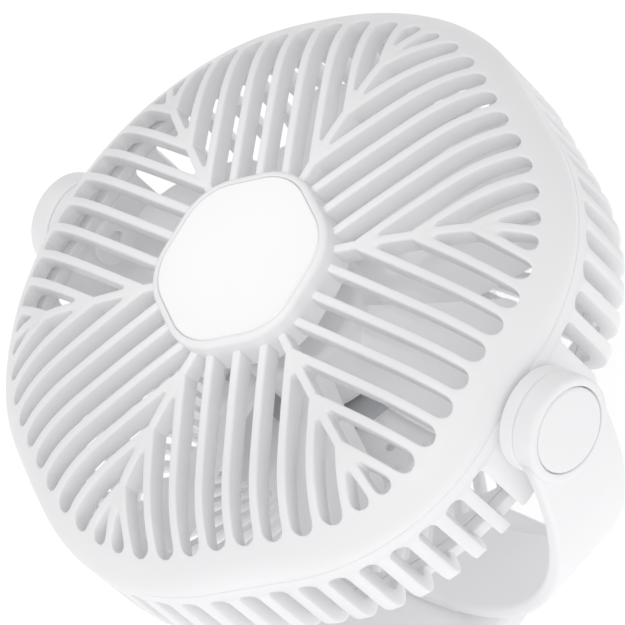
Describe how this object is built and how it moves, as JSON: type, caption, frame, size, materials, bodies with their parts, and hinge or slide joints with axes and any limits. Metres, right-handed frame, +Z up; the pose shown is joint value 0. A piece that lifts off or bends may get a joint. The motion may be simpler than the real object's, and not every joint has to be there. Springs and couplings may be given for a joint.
{
  "type": "desk fan",
  "caption": "Small desk fan: rounded-hexagon ribbed head tilting in a U-shaped yoke on a slab base, with brushless motor, bladed impeller and push button.",
  "frame": {"origin": "on the underside of the base pad, straight below the middle of the tilt axis", "axes": "+Z up; -Y is the way the fan blows when its head is upright; the tilt axis runs along X; the head is modelled leaning back 75 degrees from upright"},
  "size_m": [0.1462, 0.1329, 0.1141],
  "materials": {
    "white_satin": "satin moulded plastic, fine grain",
    "white_gloss": "polished moulded plastic",
    "fan_white": "moulded plastic, slightly greyer",
    "grey_button": "soft-touch plastic",
    "inner_grey": "moulded engineering plastic",
    "bright_steel": "zinc-plated steel",
    "core_steel": "stacked silicon steel",
    "magnet_grey": "bonded ferrite",
    "copper_wire": "enamelled copper wire",
    "bronze": "sintered bronze",
    "board_green": "solder-masked board",
    "black_plastic": "moulded plastic",
    "washer_nylon": "nylon",
    "pad_rubber": "light grey silicone rubber"
  },
  "bodies": {
    "stand": {"yoke": "white_satin", "base_plate": "white_satin", "base_weight": "bright_steel", "base_pad": "pad_rubber", "base_screws": "bright_steel", "pivot_cap_left": "white_satin", "pivot_cap_right": "white_satin"},
    "head": {"bay_wall": "white_satin", "board_screws": "bright_steel", "charging_socket": "bright_steel", "circuit_board": "board_green", "cover_screws": "bright_steel", "friction_washer_left": "washer_nylon", "friction_washer_right": "washer_nylon", "front_bearing": "bronze", "front_grille": "white_satin", "hub_cap": "white_gloss", "motor_base": "inner_grey", "motor_lead": "black_plastic", "motor_screws": "bright_steel", "pivot_bolt_left": "bright_steel", "pivot_bolt_right": "bright_steel", "pivot_collar_left": "white_satin", "pivot_collar_right": "white_satin", "rear_bearing": "bronze", "rear_cover": "white_satin", "rear_guard": "white_satin", "rear_shell": "white_satin", "speed_switch": "black_plastic", "spring_washer_left": "bright_steel", "spring_washer_right": "bright_steel", "stator_core": "core_steel", "stator_windings": "copper_wire"},
    "rotor": {"impeller": "fan_white", "rotor_can": "bright_steel", "rotor_magnets": "magnet_grey", "motor_shaft": "bright_steel", "retaining_clip": "bright_steel"},
    "button": {"speed_button": "grey_button"}
  },
  "joints": [
    {"name": "head_tilt", "type": "hinge", "parent": "stand", "child": "head", "pos_m": [0, 0, 0.081], "axis": [1, 0, 0], "range_deg": [-40, 95]},
    {"name": "impeller_spin", "type": "hinge", "parent": "head", "child": "rotor", "pos_m": [0, 0, 0.081], "axis": [0, -0.2588, 0.9659], "continuous": true},
    {"name": "button_press", "type": "slide", "parent": "head", "child": "button", "axis": [0, -0.2588, 0.9659], "range_m": [0, 0.0005], "stiffness_N_per_m": 800, "springref_m": -0.0005}
  ]
}
